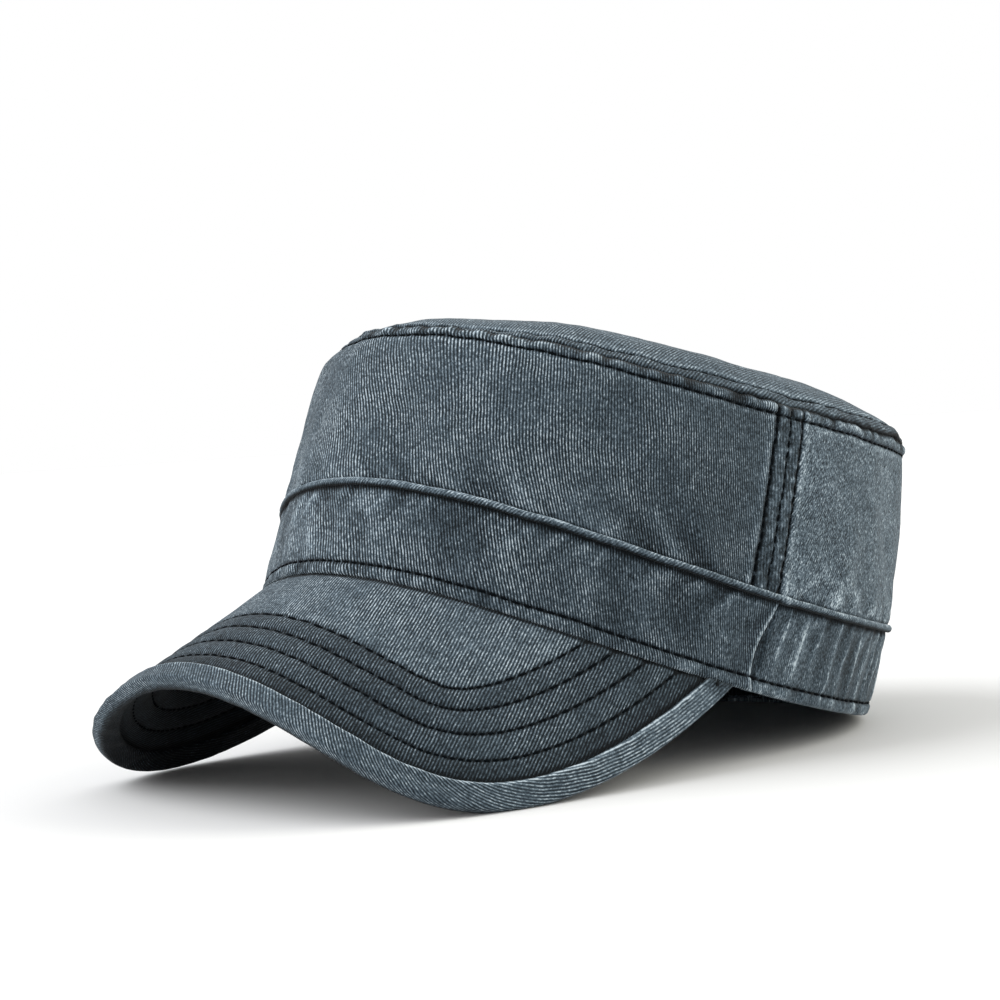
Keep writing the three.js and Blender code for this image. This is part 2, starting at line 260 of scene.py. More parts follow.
def top_stitch(angle):
    """How far inside the top seam the top is stitched."""
    return TOP_STITCH + 0.7 * ripple(cos(angle) * 7, sin(angle) * 7, 9)


def band_stitch(angle):
    """How far above the rim the band is stitched."""
    return BAND_STITCH + 0.35 * ripple(angle * GIRTH / 15, 6.1)


def seam_tuck(angle):
    """The far front of the top seam is drawn in behind a fuller shoulder."""
    return outward_at(angle) * -SEAM_TUCK * hump(turn_from(angle, -41), 0, 0.4)


def shoulder(angle, high):
    """How far that shoulder stands up, a little below the seam."""
    return SHOULDER_RISE * hump(turn_from(angle, -38), 0, 0.36) * hump(high, 9.5, 6.2)


def wall_relief(angle, v, point):
    """Puckers, topstitch and welt of the wall: how far it stands out, its worn paleness with
    painted highlights, and its painted shade.
    """
    along = angle * GIRTH
    low, high = v * WALL_HEIGHT, (1 - v) * WALL_HEIGHT
    stitch = wall_stitch(angle)
    welt = ease((stitch - high) / WELT_EDGE)
    puff = lump(angle)
    pucker = ripple(along / 3.6 + high / 5, 7.7) + 0.8 * ripple(along / 8, high / 6, 2.2)
    crease = ripple((along + low * 0.8) / 6.5, low / 30, 12.3)
    foot = ripple(along / 5 - low / 9, 11.3)
    drawn = ripple((along - low * 0.9) / 4.5, low / 22, 6.3)
    behind = ease((angle - SEAM_AT) / 0.05)

    # Loose cloth, with a hollow in its far front
    out = 0.6 * crumple(point, 26) + 0.25 * crumple(point, 9)
    out += 0.6 * ripple(along / 17 + low / 60, 2.9) * hump(v, 0.3, 0.45)
    out += 0.5 * crease * hump(low, 4, 9)
    out -= 1.5 * hump(angle, radians(-34), 0.3) * hump(v, 0.35, 0.3)
    # The welt over its stitches
    out += 0.4 * welt + 0.6 * pucker * hump(high, 1.9, 2.0) + 0.9 * puff * hump(high, 1.4, 1.7)
    out -= GROOVE_DEPTH * hump(high, stitch, 0.6) * (0.8 + 0.4 * ripple(along / 2.2, 1.3))
    out -= 0.9 * hump(high, 0, 0.7)
    # The foot, drawn in behind the side seams
    out += 0.35 * foot * hump(low, 0, 8) - 0.3 * hump(low, 1, 1.0)
    out += 0.5 * drawn * hump(low, 3, 9) * behind

    # Paler on puffs and ridges, rubbed; painted highlight on the crests of creases
    wear_and_highlight = 0.3 * welt * ease(0.15 + 1.5 * pucker) * ease(high / WELT_EDGE)
    wear_and_highlight += 0.72 * ease(2.3 * puff) * hump(high, 1.2, 0.9)
    wear_and_highlight += 0.25 * hump(high, stitch + 1.4, 0.8)
    wear_and_highlight += 0.25 * hump(low, 2.4, 1.6) * ease(0.2 + foot)
    wear_and_highlight += 0.4 * ease(2.6 * drawn - 0.4) * hump(low, 4, 8) * behind
    wear_and_highlight += 0.2 * ease(2.2 * crease - 0.2) * hump(low, 5, 8)

    # Painted shade along the stitches and seams, just above the piping, in the welt's dimples, in
    # the creases' hollows, and on the front of the wall towards the near side seam
    shade = 0.78 * hump(high, stitch, 0.42) + 0.9 * hump(high, 0, 0.6) + 0.5 * hump(low, 1.1, 0.45)
    shade += welt * (0.25 * ease(-0.3 - 1.4 * pucker) + 0.45 * ease(-2.5 * puff))
    shade += 0.14 * hump(angle, 1.2, 0.3) + 0.2 * ease(-2 * crease) * hump(low, 4, 8)
    return out, wear_and_highlight, shade


def wall_face(angle, v, out=0):
    """The wall as it is worn, or what lies a distance out over it."""
    v = clamped(v)
    point = wall_point(angle, v)
    relief, wear_and_highlight, shade = wall_relief(angle, v, point)
    high = (1 - v) * WALL_HEIGHT
    point.z += seam_wave(angle) * hump(high, 0, 4) + shoulder(angle, high)
    point += seam_tuck(angle) * hump(high, 0, 4)
    return point + outward_at(angle) * (relief + out), wear_and_highlight, shade


def leaning(upright, v):
    """The side seams and the panels between them lean a little."""
    return upright + radians(SEAM_LEAN) * (v - 0.5) * sin(upright)


def warped(angle, up):
    """Where cloth lies on its roll: the weave is open at the front and drawn close at the sides."""
    along = 98 * angle - 13 * sin(2 * angle)
    return along + 2.8 * ripple(along / 46, up / 38, 2), up


def panel_spot(upright, v, ends):
    """A wall panel, with a worn ridge where it is sewn to the side seams."""
    angle = leaning(upright, v)
    inside = min(upright - ends[0], ends[1] - upright) * HALF_WIDTH
    ridge = hump(inside, 1.2, 0.9) * (1 + 0.8 * hump(v, 0, 0.12))
    out = 0.4 * ridge + 0.16 * ripple(v * 11, 4.4) * hump(inside, 0, 8)
    point, wear_and_highlight, shade = wall_face(angle, v, out)
    wear_and_highlight += 0.45 * ridge * (0.7 + 0.7 * ripple(v * 13, upright)) + 0.1 * hump(inside, 2.4, 3.5)
    # Painted shade where the panel turns under at its sewn edge
    shade += 0.5 * hump(inside, -0.3, 0.45)
    return point, warped(angle, v * WALL_HEIGHT), wear_and_highlight, shade


def seam_spot(side, across, v):
    """The felled seam: three stitched channels between two soft ridges."""
    angle = leaning(side * SEAM_AT + across / HALF_WIDTH, v)
    first, middle, last = [
        hump(across, place + 0.2 * ripple(v * 9, place), 0.45) for place in SEAM_STITCHES
    ]
    rung = ripple(v * WALL_HEIGHT / 2.1, across / 2.8, 5)
    edge = SEAM_WIDTH / 2 - abs(across)
    out = SEAM_STAND_OUT - (0.5 * first + 0.35 * middle + 0.5 * last)
    out += 0.4 * rung - 0.7 * ease(1 - edge / 0.6)
    point, wear_and_highlight, shade = wall_face(angle, v, out)
    wear_and_highlight = 0.6 * wear_and_highlight + 0.5 * ease(1.8 * rung)
    # Painted shade in the three stitched channels and between the rungs
    shade = 0.8 * shade + 0.7 * first + 0.3 * middle + 0.7 * last + 0.2 * ease(-2 * rung)
    return point, (across, v * WALL_HEIGHT), wear_and_highlight, shade


def top_point(angle, r):
    """The dome's plain form, from its middle at r = 0 to the top seam."""
    edge = ring_point("seam", angle)
    middle = ring_point("seam", pi / 2)
    z = mix(middle.z, edge.z, r * r) + DOME_HEIGHT * (1 - r**DOME_SQUARENESS)
    return Vector((edge.x * r, mix(middle.y, edge.y, r), z))


def top_normal(angle, r):
    step = 0.004
    a, b = top_point(angle, r - step), top_point(angle, min(r + step, 1))
    side = outward_at(angle).cross(Vector((0, 0, 1)))
    normal = side.cross(b - a)
    return (normal if normal.z > 0 else -normal).normalized()


def inside_seam(edge, r):
    """How far inside the top seam the dome is at a share r of its radius, along the cloth."""
    return (1 - r) * hypot(edge.x, edge.y) * mix(1.0, 1.45, r**6)


def top_spot(angle, r, out=0):
    """The domed top: a ribbed strip inside the seam, a wavering topstitch, then a smooth panel."""
    point = top_point(angle, r)
    edge = ring_point("seam", angle)
    inside = inside_seam(edge, r)
    point.z += seam_wave(angle) * hump(inside, 0, 4)
    point += seam_tuck(angle) * hump(inside, 0, 9)
    dip = hump(hypot(point.x - TOP_DIP[0], point.y - TOP_DIP[1]), 0, TOP_DIP_REACH)
    point.z -= TOP_DIP_DEPTH * dip * ease(inside / 5)

    x, y = cos(angle), sin(angle)
    stitch = top_stitch(angle)
    strip = ease((stitch - inside) / WELT_EDGE)
    pucker = ripple(x * 21 + inside / 6, y * 21, inside / 7) + 0.5 * ripple(x * 9, y * 9, 2)
    relief = 0.7 * crumple(point, 30) + 0.25 * crumple(point, 10)
    relief += 0.3 * strip + 0.6 * pucker * hump(inside, 2.4, 3)
    relief += 1.2 * hump(turn_from(angle, 120), 0, 0.3) * hump(inside, 4, 8)
    relief -= GROOVE_DEPTH * hump(inside, stitch, 0.6) + 0.7 * hump(inside, 0, 0.7)
    point += top_normal(angle, max(r, 0.02)) * (relief + out)

    cut = r * (1 + 0.05 * r**8)
    wear_and_highlight = 0.3 * strip * ease(1.6 * pucker) + 0.3 * hump(inside, stitch + 1.5, 0.9)
    # Painted shade in the stitch groove and the seam, and a little over the puckered strip
    shade = 0.8 * hump(inside, stitch, 0.45) + 0.9 * hump(inside, 0, 0.6) + 0.12 * strip
    return point, (edge.x * cut, edge.y * cut), wear_and_highlight, shade


# Band and piping


def band_face(angle, v, out=0):
    """The band: a stitched welt at the rim, soft flutes, and creases below the piping."""
    low, high = ring_point("rim", angle), ring_point("piping", angle)
    point = low.lerp(high, v)
    above, below = v * BAND_HEIGHT, (1 - v) * BAND_HEIGHT
    along = angle * GIRTH
    stitch = band_stitch(angle)
    welt = ease((stitch - above) / WELT_EDGE)
    pucker = ripple(along / 3.8 - above / 6, 17.7) + 0.7 * ripple(along / 9, above / 6, 1.2)
    flute = ripple(along / 11 + above / 40, above / 50, 9.9) * sin(pi * v)
    crease = ripple((along + below * 0.7) / 4.4, below / 22, 13.3)

    relief = 0.5 * crumple(point, 24) + 0.22 * crumple(point, 8)
    relief += 0.6 * flute + 0.4 * crease * hump(below, 3, 6)
    relief += 0.25 * welt + 0.45 * pucker * hump(above, 1.9, 2.2)
    relief -= GROOVE_DEPTH * hump(above, stitch, 0.55) * (0.8 + 0.4 * ripple(along / 2.2, 2.3))
    relief -= 0.7 * ease(1 - above / WELT_EDGE) ** 2
    relief += 0.25 * ripple(along / 6 + below / 8, 21) * hump(below, 0, 6)
    relief -= 0.3 * hump(below, 1, 1.0)

    # Rubbed pale on the welt's puckers and at the rim's edge; painted highlight on the crests of
    # flutes and creases
    wear_and_highlight = 0.35 * welt * ease(0.1 + 1.3 * pucker) + 0.3 * hump(above, 0, 0.5)
    wear_and_highlight += 0.25 * ease(2 * flute) + 0.35 * ease(2.4 * crease - 0.3) * hump(below, 4, 5)
    # Painted shade in the stitch groove, weaker towards the far front, in a line under the piping,
    # in the hollows of flutes and creases and in the welt's dimples
    groove_shade_strength = 1 - 0.5 * hump(angle, -0.9, 0.5)
    shade = 0.8 * groove_shade_strength * hump(above, stitch, 0.42) + hump(below, 1.3, 0.75)
    shade += 0.15 * ease(-2 * flute) + 0.25 * ease(-2 * crease) * hump(below, 3, 5)
    shade += 0.3 * welt * ease(-0.3 - 1.3 * pucker)
    return point + outward_at(angle) * (relief + out), warped(angle, above), wear_and_highlight, shade


def front_spot(u, v):
    """The front of the band, with a soft worn fold at each lapped end."""
    end = LAP_AT - GAP / 2 / HALF_WIDTH
    end -= LAP_BOW * sin(pi * clamped(v) ** 0.7) ** 1.3 / HALF_WIDTH
    angle = mix(-end, end, u)
    inside = min(u, 1 - u) * 2 * end * HALF_WIDTH
    swell = LAP_STAND_OUT * abs(2 * u - 1) ** (1 / LAP_REACH)
    roll = 0.9 * ease(1 - inside / 0.9) ** 2
    point, place, wear_and_highlight, shade = band_face(angle, v, swell - roll + 0.4 * hump(inside, 1.3, 0.9))
    wear_and_highlight += 1.6 * hump(inside, 1.0, 0.5) * (0.85 + 0.4 * ripple(v * 7, 3))
    # Painted light: paler at the middle front, except near the rim, and on the near side
    wear_and_highlight += 0.3 * hump(angle, -0.2, 0.5) * ease(v * 3) + 0.12 * hump(angle, 1.35, 0.35)
    return point, place, wear_and_highlight, shade


def gather_at(u, v):
    """How far a gather falls back from its crest, 0 at the crest and 1 in the valley."""
    drift = 0.3 * ripple(u * 27, v * 0.9, 1) + 0.12 * ripple(u * 70, v * 2, 3)
    return abs(sin(pi * (GATHERS * u + drift + 0.5))) ** 0.7


def back_spot(u, v):
    """The gathered back of the band, its ends tucked under the lapped front."""
    angle = mix(LAP_AT - LAP_UNDER, FAR_LAP_AT + LAP_UNDER, u)
    share = clamped((angle - LAP_AT) / BACK_SPAN)
    valley = gather_at(share, v)
    fade = max(sin(pi * share), 0) ** 0.35
    size = 0.8 + 0.7 * ripple(share * 23, 5)
    swell = mix(GATHER_EVENNESS, 1, sin(pi * v))
    drop = GATHER_DEPTH * GATHER_FULLNESS * fade * swell * size * valley
    slant = 0.4 * ripple(share * 40 + v * 2.4, v * 2.5, 2)
    tuck = 0.7 * ease((LAP_AT + 0.004 - angle) / 0.012)
    tuck += 0.7 * ease((angle - FAR_LAP_AT + 0.004) / 0.012)
    point, place, wear_and_highlight, shade = band_face(angle, v, -drop + slant - tuck)

    # A pale worn line on each crest, of its own length
    length = 0.55 + 0.5 * ripple(share * 51, 8)
    reach = ease((v - 0.75 + length) / 0.2) * ease((0.97 - v) / 0.06)
    uneven = 0.85 + 0.4 * ripple(share * 90, v * 4)
    wear_and_highlight += 1.25 * (1 - valley) ** 4 * ease(0.2 + size) * reach * uneven
    # Painted shade in the gathers' valleys and under the lapped ends
    shade += 0.2 * valley**3 * sin(pi * v) + 0.15 * tuck
    return point, place, wear_and_highlight, shade


def cord_spot(co):
    """The piping: a ring of cord laid along the top of the band, lumpy where the band laps."""
    angle = atan2(co.y, co.x)
    turn = atan2(co.z, hypot(co.x, co.y) - GIRTH)
    along = angle * GIRTH
    x, y = cos(angle), sin(angle)
    join = hump(abs(angle), LAP_AT + 0.01, 0.02)
    thick = 1 + 0.1 * ripple(x * 30, y * 30) + 0.07 * ripple(x * 90, y * 90, turn) + 0.2 * join
    outwards = CORD_RADIUS * cos(turn) * thick + CORD_STAND_OUT + CORD_PROUD
    outwards -= 0.8 * hump(turn_from(angle, -46), 0, 0.3)  # it sinks in at its far end
    upwards = CORD_RADIUS * sin(turn) * thick + 0.25 * ripple(x * 9, y * 9, 3)
    point = ring_point("piping", angle) + outward_at(angle) * outwards + Vector((0, 0, upwards))
    # Painted highlight along the cord's top and painted shade on its underside; paler where it is
    # lumpy at the join
    wear_and_highlight = (0.6 * hump(turn, 0.9, 0.6) + 0.5 * join) * (0.8 + 0.6 * ripple(along / 4, 2))
    return point, (along, turn * CORD_RADIUS), wear_and_highlight, 0.9 * ease((-0.35 - turn) / 0.8)


# Peak
#
# Its cloth is measured flat: p across, from the middle to the left, and q down the slope.

SLOPE = Vector((0, -cos(radians(PEAK_SLOPE)), -sin(radians(PEAK_SLOPE))))


def rim_curve():
    """Samples of the rim's front: distance across the flattened peak, angle, slope place, foot."""
    steps = 240
    end = radians(PEAK_END_ANGLE)
    samples, across = [], 0
    for i in range(steps + 1):
        angle = mix(-end, end, i / steps)
        point = ring_point("rim", angle)
        q = point.dot(SLOPE)
        foot = point - SLOPE * q
        across += (foot - samples[-1][3]).length if samples else 0
        samples.append((across, angle, q, foot))
    return [(p - across / 2, angle, q, foot) for p, angle, q, foot in samples]


RIM_CURVE = rim_curve()
RIM_ACROSS = [sample[0] for sample in RIM_CURVE]
PEAK_HALF_SPAN = RIM_ACROSS[-1]
RIM_END_Q = RIM_CURVE[0][2]
RIM_MIDDLE_Q = RIM_CURVE[len(RIM_CURVE) // 2][2]
PEAK_THICKNESS = 2 * PEAK_CLOTH + GAP
BINDING_BITE = BINDING_CLOTH + GAP


def rim_at(p):
    """The rim's angle, slope place and foot at a distance across the peak."""
    i = min(max(bisect_right(RIM_ACROSS, p), 1), len(RIM_CURVE) - 1)
    a, b = RIM_CURVE[i - 1], RIM_CURVE[i]
    share = (p - a[0]) / (b[0] - a[0])
    return mix(a[1], b[1], share), mix(a[2], b[2], share), a[3].lerp(b[3], share)


def peak_point(p, q, below):
    """A point below the peak's upper face. Its far side bows a little less."""
    angle, rim_q, foot = rim_at(p)
    share = clamped((q - rim_q) / PEAK_BOW_REACH)
    rise = PEAK_BOW * sin(pi / 2 * share) - PEAK_FLATTER * hump(p, -32, 22) * ease(share * 3)
    step = 1e-3
    tangent = ring_point("rim", angle + step) - ring_point("rim", angle - step)
    return foot + SLOPE * q + SLOPE.cross(tangent).normalized() * (rise - below)


def outline(t, inset):
    """The peak's edge at a turn t from its middle, or a line inside it."""
    reach = RIM_MIDDLE_Q + PEAK_DEPTH - RIM_END_Q

    def place(s):
        return (
            (PEAK_HALF_SPAN + PEAK_CORNER) * sin(s) + PEAK_CORNER * sin(3 * s),
            RIM_END_Q + (reach + PEAK_FLATNESS) * cos(s) - PEAK_FLATNESS * cos(3 * s),
        )

    step = 1e-4
    (p0, q0), (p1, q1) = place(t - step), place(t + step)
    length = hypot(p1 - p0, q1 - q0)
    p, q = place(t)
    inset += PEAK_DRAWN_IN * hump(t, -0.95, 0.4)
    return p + inset * (q1 - q0) / length, q - inset * (p1 - p0) / length


@cache
def outline_end(inset, clear):
    """The turn at which a line inside the edge comes within a clearance of the rim."""
    low, high = 0.2, pi / 2
    for _ in range(40):
        t = (low + high) / 2
        p, q = outline(t, inset)
        if abs(p) < PEAK_HALF_SPAN and q - rim_at(p)[1] > clear:
            low = t
        else:
            high = t
    return low


EDGE_TURNS = np.linspace(-pi / 2, pi / 2, 1201)
EDGE = np.array([outline(t, 0) for t in EDGE_TURNS])
EDGE_ALONG = run_lengths(EDGE)
EDGE_ALONG -= EDGE_ALONG[-1] / 2


def peak_relief(p, q, rim_q):
    """Quilting of the peak: stitched grooves with soft ribs between them."""
    inside = float(np.hypot(EDGE[:, 0] - p, EDGE[:, 1] - q).min())
    stitched = ease((PEAK_STITCHES[-1] + 0.6 - inside) / 1.2)
    grooves = sum(hump(inside, row, 0.65) for row in PEAK_STITCHES)
    lines = sum(hump(inside, row, 0.42) for row in PEAK_STITCHES)
    out = 0.25 * crumple(Vector((p, q, 0)), 24) + 0.1 * crumple(Vector((p, q, 5)), 7)
    out += 0.16 * stitched * cos(2 * pi * ((inside - PEAK_STITCHES[0]) / QUILT_PITCH - 0.5))
    out -= 0.5 * grooves * (0.85 + 0.5 * ripple(p / 2.3, q / 2.3)) + 0.5 * hump(q - rim_q, 0, 1.2)
    # Painted shade in the stitch grooves, where the peak meets the band, and beside the binding's
    # edge
    shade = 0.78 * min(lines, 1) + 0.85 * hump(q - rim_q, 0, 0.7)
    shade += 0.6 * hump(inside, BINDING_WIDTH + 0.5, 0.7)
    return out, stitched, shade, inside


def peak_place(u, v, clear):
    """A place on the peak's cloth, from its edge at v = 0 to a clearance from the rim."""
    end = outline_end(BINDING_BITE, GAP + PEAK_CLOTH)
    p, q = outline(mix(-end, end, u), BINDING_BITE)
    rim_q = rim_at(p)[1]
    return p, mix(q, rim_q + clear, v), rim_q


def upper_spot(u, v):
    """The peak's upper cloth, darker where it is quilted and beside its binding: partly its own
    tone and partly painted shade.
    """
    p, q, rim_q = peak_place(u, v, -0.6)
    out, stitched, shade, inside = peak_relief(p, q, rim_q)
    wear_and_highlight = 0.12 * (1 - stitched) * ease((q - rim_q) / 6)
    # Darker where quilted, partly its own tone and partly painted shade, a little less towards the
    # near side
    shade += (0.21 - 0.06 * ease((p - 42) / 30)) * stitched
    shade += 0.2 * ease((PEAK_STITCHES[0] - inside) / 2)
    return peak_point(p, q, -out), (p, q), wear_and_highlight, shade


def under_spot(u, v):
    """The peak's under cloth, quilted the other way up."""
    p, q, rim_q = peak_place(u, v, GAP)
    out, _, shade, _ = peak_relief(p, q, rim_q)
    return peak_point(p, q, PEAK_THICKNESS + out), (p, q), 0.1, shade


def binding_section():
    """The binding's outer face, from its upper hem round the edge to its lower hem."""
    rise = GAP + BINDING_CLOTH
    radius = PEAK_THICKNESS / 2 + rise
    flat_rows, nose_rows, crowding = 10, 12, 1.6
    hem = [
        mix(BINDING_WIDTH, BINDING_BITE, (k / flat_rows) ** crowding) for k in range(flat_rows)
    ]
    section = [(inset, -rise) for inset in hem]
    for k in range(nose_rows + 1):
        turn = pi * k / nose_rows
        nose = BINDING_BITE - BINDING_BITE * sqrt(max(sin(turn), 0))
        section.append((nose, PEAK_THICKNESS / 2 - radius * cos(turn)))
    return section + [(inset, PEAK_THICKNESS + rise) for inset in reversed(hem)]


BINDING_SECTION = binding_section()
BINDING_ROUND = run_lengths(BINDING_SECTION)


def binding_spot(u, v):
    """The bias binding: rolled worn hems, and a tight turn round the peak's edge."""
    k = round(v * (len(BINDING_SECTION) - 1))
    inset, depth = BINDING_SECTION[k]
    end = outline_end(inset, 0)
    t = mix(-end, end, u)
    along = float(np.interp(t, EDGE_TURNS, EDGE_ALONG))
    hem = BINDING_WIDTH - inset
    middle = PEAK_THICKNESS / 2
    top = depth < middle
    wide = inset + 0.35 * ripple(along / 13, 3 if top else 8) * inset / BINDING_WIDTH
    roll = 0.55 * ease(1 - hem / 0.8) ** 2
    out = 0.25 * ripple(along / 5 + inset / 3, inset / 6, 5) + 0.25 * hump(hem, 1.2, 1.0) - roll
    p, q = outline(t, wide)
    point = peak_point(p, q, depth - out if top else depth + out)

    wear_and_highlight = (1.3 if top else 0.2) * hump(hem, 0.4, 0.4) * (0.9 + 0.4 * ripple(along / 3, 9))
    wear_and_highlight += 0.15 * hump(depth, middle, 1.6) + 0.2 * ease((t - 0.95) / 0.5)
    # Painted shade at the hems' edge, on its underside as it turns away from the light, and at its
    # ends, where they go under the band
    shade = 0.8 * ease(1 - hem / 0.3) + 0.75 * ease((depth - middle) / 2.4)
    shade += 0.4 * ease((abs(2 * u - 1) - 0.975) / 0.025)

    # The strip's place on its roll turns from the bias at its middle to the straight at its ends
    across = float(BINDING_ROUND[-1] / 2 - BINDING_ROUND[k])
    radius = EDGE_ALONG[-1] * 2 / pi
    slant = BIAS * cos(t) ** 2
    place = (
        across * sqrt(1 - slant * slant) + radius * BIAS * (t + sin(t) * cos(t)) / 2,
        0.9 * along - across * slant,
    )
    return point, place, wear_and_highlight, shade


# Laying the cap on the table, and building its pieces

TIP_BACK = Matrix.Rotation(-radians(REST_TILT), 3, "X")

# Places that the cloths turn their hidden sides to
CROWN_MIDDLE = Vector((0, 0, 40))
OVER_PEAK = Vector((0, -60, 300))
UNDER_PEAK = Vector((0, -60, -200))


def laid(point):
    """A point of the cap as it lies, in metres. Cloth that meets the table is flat there."""
    x, y, z = TIP_BACK @ point + REST_SHIFT
    return Vector((x, y, max(z, 0))) * MM


def close_places(length, lines, fine, coarse):
    """Places along a length, from 0 to 1: fine steps at some lines, and coarse ones 4 away."""
    places = [0.0]
    while places[-1] < length:
        near = min(abs(places[-1] - line) for line in lines)
        places.append(places[-1] + mix(fine, coarse, min(near / 4, 1)))
    return [place / places[-1] for place in places]


def even_places(count):
    return [i / count for i in range(count + 1)]


def dressed(bm, name, material, node=None):
    """Makes a piece of the cap, which stands for a solid where its node is given."""
    mesh = bpy.data.meshes.new(name)
    for face in bm.faces:
        face.smooth = True
    bm.to_mesh(mesh)
    bm.free()
    mesh.materials.append(material)
    piece = bpy.data.objects.new(name, mesh)
    bpy.context.collection.objects.link(piece)
    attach(piece, "root")
    if node:
        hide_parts(node)
    return piece


def lay_out(bm, spot):
    """Moves each point to its spot, and marks its worn paleness with painted highlights, its
    painted shade and its place on the roll.
    """
    wear_and_highlight_layer = bm.verts.layers.float.new("wear_and_highlight")
    shade_layer = bm.verts.layers.float.new("shade")
    cloth_layer = bm.loops.layers.uv.new("cloth")
    cut = {}
    for vert in bm.verts:
        point, place, wear_and_highlight, shade = spot(vert.co)
        vert.co = laid(point)
        vert[wear_and_highlight_layer] = clamped(wear_and_highlight)
        vert[shade_layer] = clamped(shade)
        cut[vert] = Vector(place) * MM
    for face in bm.faces:
        for loop in face.loops:
            loop[cloth_layer].uv = cut[loop.vert]


def cloth(node, material, across, up, spot, thickness, back_to=CROWN_MIDDLE, closed=False):
    """A sheet of cloth: a grid laid over a surface, then given its thickness on its hidden side."""
    bm = bmesh.new()
    columns, rows = len(across) - 1, len(up) - 1
    bmesh.ops.create_grid(bm, x_segments=columns, y_segments=rows, size=0.5)

    def spot_of(co):
        return spot(across[round((co.x + 0.5) * columns)], up[round((co.y + 0.5) * rows)])

    lay_out(bm, spot_of)
    bm.normal_update()
    bm.faces.ensure_lookup_table()
    middle = bm.faces[rows // 2 * columns + columns // 2]
    if middle.normal.dot(middle.calc_center_median() - laid(back_to)) < 0:
        bmesh.ops.reverse_faces(bm, faces=bm.faces)
    if closed:
        bmesh.ops.remove_doubles(bm, verts=bm.verts, dist=0.01 * MM)
    piece = dressed(bm, node + "_cloth", material, node)
    wall = piece.modifiers.new("thickness", "SOLIDIFY")
    wall.thickness = thickness * MM
    wall.offset = -1
    wall.use_even_offset = True


# Materials


def linear(red, green, blue):
    """An sRGB colour, 0 to 255, as the shader takes it."""

    def channel(c):
        c /= 255
        return c / 12.92 if c <= 0.04045 else ((c + 0.055) / 1.055) ** 2.4

    return (channel(red), channel(green), channel(blue), 1)


# From thread in deep shade to bare worn cotton
DYE = [
    (0.0, linear(6, 11, 15)),
    (0.28, linear(32, 41, 47)),
    (0.5, linear(63, 75, 84)),
    (0.72, linear(101, 115, 125)),
    (1.0, linear(182, 195, 203)),
]
WAVE_PITCH = 0.31416  # of a wave texture's bands at scale 1


